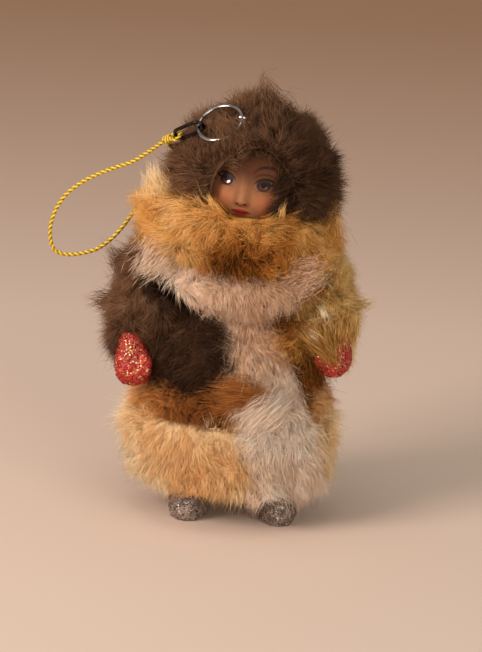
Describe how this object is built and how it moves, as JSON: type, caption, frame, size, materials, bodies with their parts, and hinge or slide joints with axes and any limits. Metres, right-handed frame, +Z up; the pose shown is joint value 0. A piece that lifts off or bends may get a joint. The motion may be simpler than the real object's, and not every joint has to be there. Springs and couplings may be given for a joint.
{
  "type": "cotton wool doll",
  "caption": "Standing cotton wool doll in a patchwork fur coat, collar and hood, with glitter mittens and boots, and a gold cord loop on linked rings for hanging.",
  "frame": {"origin": "centre of the doll's footprint, on the surface it stands on", "axes": "+Z up, the doll faces -Y, +X is to the doll's left, which is the viewer's right"},
  "size_m": [0.0779, 0.0451, 0.105],
  "materials": {
    "dark_fur": "dense dark brown fur",
    "tan_fur": "golden tan fur",
    "brown_fur": "brown fur",
    "cream_fur": "pale golden fur",
    "white_fur": "white fur",
    "cotton": "pressed cotton wool",
    "painted_face": "painted moulded face, satin",
    "red_glitter": "red paint with gold glitter",
    "silver_glitter": "grey paint with silver glitter",
    "frame_wire": "plain wire",
    "bright_metal": "bright plated wire",
    "gold_cord": "twisted metallic gold cord"
  },
  "bodies": {
    "doll": {"body_core": "cotton", "spine_wire": "frame_wire", "arm_wire": "frame_wire", "leg_wire": "frame_wire", "right_arm_core": "cotton", "left_arm_core": "cotton", "right_leg_core": "cotton", "left_leg_core": "cotton", "right_mitten": "red_glitter", "left_mitten": "red_glitter", "right_boot": "silver_glitter", "left_boot": "silver_glitter", "head_core": "cotton", "face": "painted_face", "collar": "tan_fur", "hood": "dark_fur", "white_yoke": "white_fur", "skirt": "cream_fur", "waist_band": "brown_fur", "right_front": "dark_fur", "left_front": "tan_fur", "coat_back": "brown_fur", "white_front_band": "white_fur", "right_sleeve": "dark_fur", "left_sleeve": "tan_fur", "hanger_eye": "bright_metal"},
    "ring": {"hanger_ring": "bright_metal"},
    "link": {"link_ring": "bright_metal", "cord_knot": "gold_cord", "hanging_cord": "gold_cord"}
  },
  "joints": [
    {"name": "ring_swing", "type": "hinge", "parent": "doll", "child": "ring", "pos_m": [-0.00161, -0.01139, 0.10226], "axis": [0.0821, 0.7947, 0.6014], "range_deg": [0, 110]},
    {"name": "link_swing", "type": "hinge", "parent": "ring", "child": "link", "pos_m": [-0.01206, -0.00832, 0.09963], "axis": [0.0821, 0.7947, 0.6014], "range_deg": [0, 120]}
  ]
}
